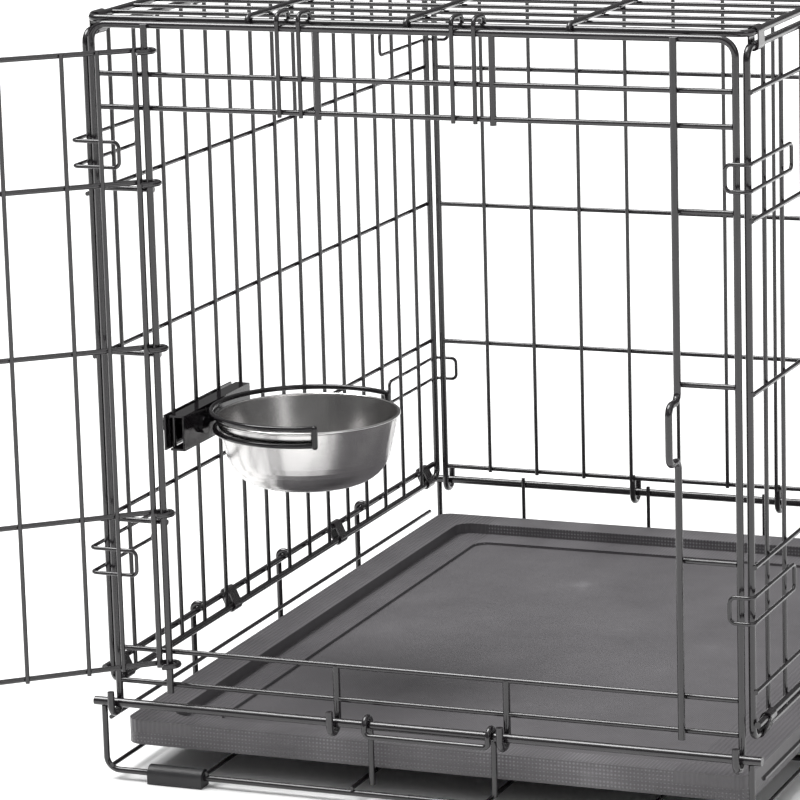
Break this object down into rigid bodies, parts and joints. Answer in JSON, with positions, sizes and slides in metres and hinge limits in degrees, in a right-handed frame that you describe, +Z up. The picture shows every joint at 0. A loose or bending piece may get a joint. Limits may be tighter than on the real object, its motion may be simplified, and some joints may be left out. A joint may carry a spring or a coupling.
{
  "type": "wire dog crate",
  "caption": "Folding wire dog crate with a front door standing open, a side door, a slide-out floor pan and a steel bowl clamped inside.",
  "frame": {"origin": "on the ground, under the middle of the rectangle of the four outer posts of the front and back panels", "axes": "+Z up, -Y out through the front door, +X to the right as seen from the front"},
  "size_m": [0.7119, 0.8621, 0.525],
  "materials": {
    "coated_wire": "semi-gloss black coating",
    "sheet_clip": "semi-gloss black coated sheet",
    "bolt_steel": "semi-gloss black coating",
    "black_plastic": "matte black",
    "pan_plastic": "textured dark grey",
    "bowl_steel": "polished stainless steel",
    "clamp_black": "gloss black"
  },
  "bodies": {
    "crate": {"front_frame": "coated_wire", "front_door_posts": "coated_wire", "front_crossbars": "coated_wire", "front_bay_wires": "coated_wire", "front_short_posts": "coated_wire", "front_hinge_hooks": "coated_wire", "front_top_hooks": "coated_wire", "left_side_frame": "coated_wire", "left_side_uprights": "coated_wire", "left_side_crosswires": "coated_wire", "left_corner_loops": "coated_wire", "right_side_frame": "coated_wire", "right_side_uprights": "coated_wire", "right_side_crosswires": "coated_wire", "right_door_posts": "coated_wire", "right_corner_loops": "coated_wire", "top_frame": "coated_wire", "top_cross_wires": "coated_wire", "top_long_rods": "coated_wire", "top_hinge_clips": "sheet_clip", "floor_end_wires": "coated_wire", "floor_cross_wires": "coated_wire", "floor_long_wires": "coated_wire", "floor_side_wires": "coated_wire", "floor_side_rails": "coated_wire", "front_hinge_bar": "coated_wire", "back_hinge_bar": "coated_wire", "floor_hinge_clips": "sheet_clip", "feet": "black_plastic", "bowl_holder": "clamp_black", "clamp_plate_inner": "clamp_black", "clamp_plate_outer": "clamp_black", "clamp_bolt": "clamp_black"},
    "back_panel": {"back_frame": "coated_wire", "back_uprights": "coated_wire", "back_crosswires": "coated_wire", "back_hinge_hooks": "coated_wire"},
    "floor_pan": {"pan_rim": "pan_plastic", "pan_tray": "pan_plastic"},
    "pan_stop": {"pan_stop": "coated_wire"},
    "front_door": {"door_frame": "coated_wire", "door_uprights": "coated_wire", "door_crossbars": "coated_wire", "door_latch_plate": "sheet_clip"},
    "front_bolt": {"door_bolt": "bolt_steel", "door_bolt_knob": "black_plastic"},
    "side_door": {"side_door_frame": "coated_wire", "side_door_uprights": "coated_wire", "side_door_crossbars": "coated_wire", "side_door_latch_plate": "sheet_clip"},
    "side_bolt": {"side_door_bolt": "bolt_steel", "side_door_bolt_knob": "black_plastic"},
    "feed_bowl": {"bowl": "bowl_steel"},
    "nut": {"wing_nut": "clamp_black"}
  },
  "joints": [
    {"name": "front_door_swing", "type": "hinge", "parent": "crate", "child": "front_door", "pos_m": [-0.18, -0.308, 0.29], "axis": [0, 0, 1], "range_deg": [-10, 138.4]},
    {"name": "front_bolt_slide", "type": "slide", "parent": "front_door", "child": "front_bolt", "axis": [-0.7478, -0.6639, 0], "range_m": [0, 0.02]},
    {"name": "side_door_swing", "type": "hinge", "parent": "crate", "child": "side_door", "pos_m": [0.2288, 0.19, 0.29], "axis": [0, 0, 1], "range_deg": [0, 105]},
    {"name": "side_bolt_slide", "type": "slide", "parent": "side_door", "child": "side_bolt", "axis": [0, -1, 0], "range_m": [0, 0.02]},
    {"name": "back_panel_fold", "type": "hinge", "parent": "crate", "child": "back_panel", "pos_m": [0, 0.311, 0.062], "axis": [1, 0, 0], "range_deg": [0, 50]},
    {"name": "pan_lift", "type": "slide", "parent": "crate", "child": "floor_pan", "axis": [0, 0, -1], "range_m": [-0.12, 0]},
    {"name": "pan_stop_swing", "type": "hinge", "parent": "crate", "child": "pan_stop", "pos_m": [0.0075, -0.311, 0.054], "axis": [-1, 0, 0], "range_deg": [0, 100]},
    {"name": "bowl_lift", "type": "slide", "parent": "crate", "child": "feed_bowl", "axis": [0, 0, 1], "range_m": [0, 0.08]},
    {"name": "wing_nut_turn", "type": "hinge", "parent": "crate", "child": "nut", "pos_m": [-0.2333, -0.171, 0.216], "axis": [1, 0, 0], "continuous": true}
  ]
}
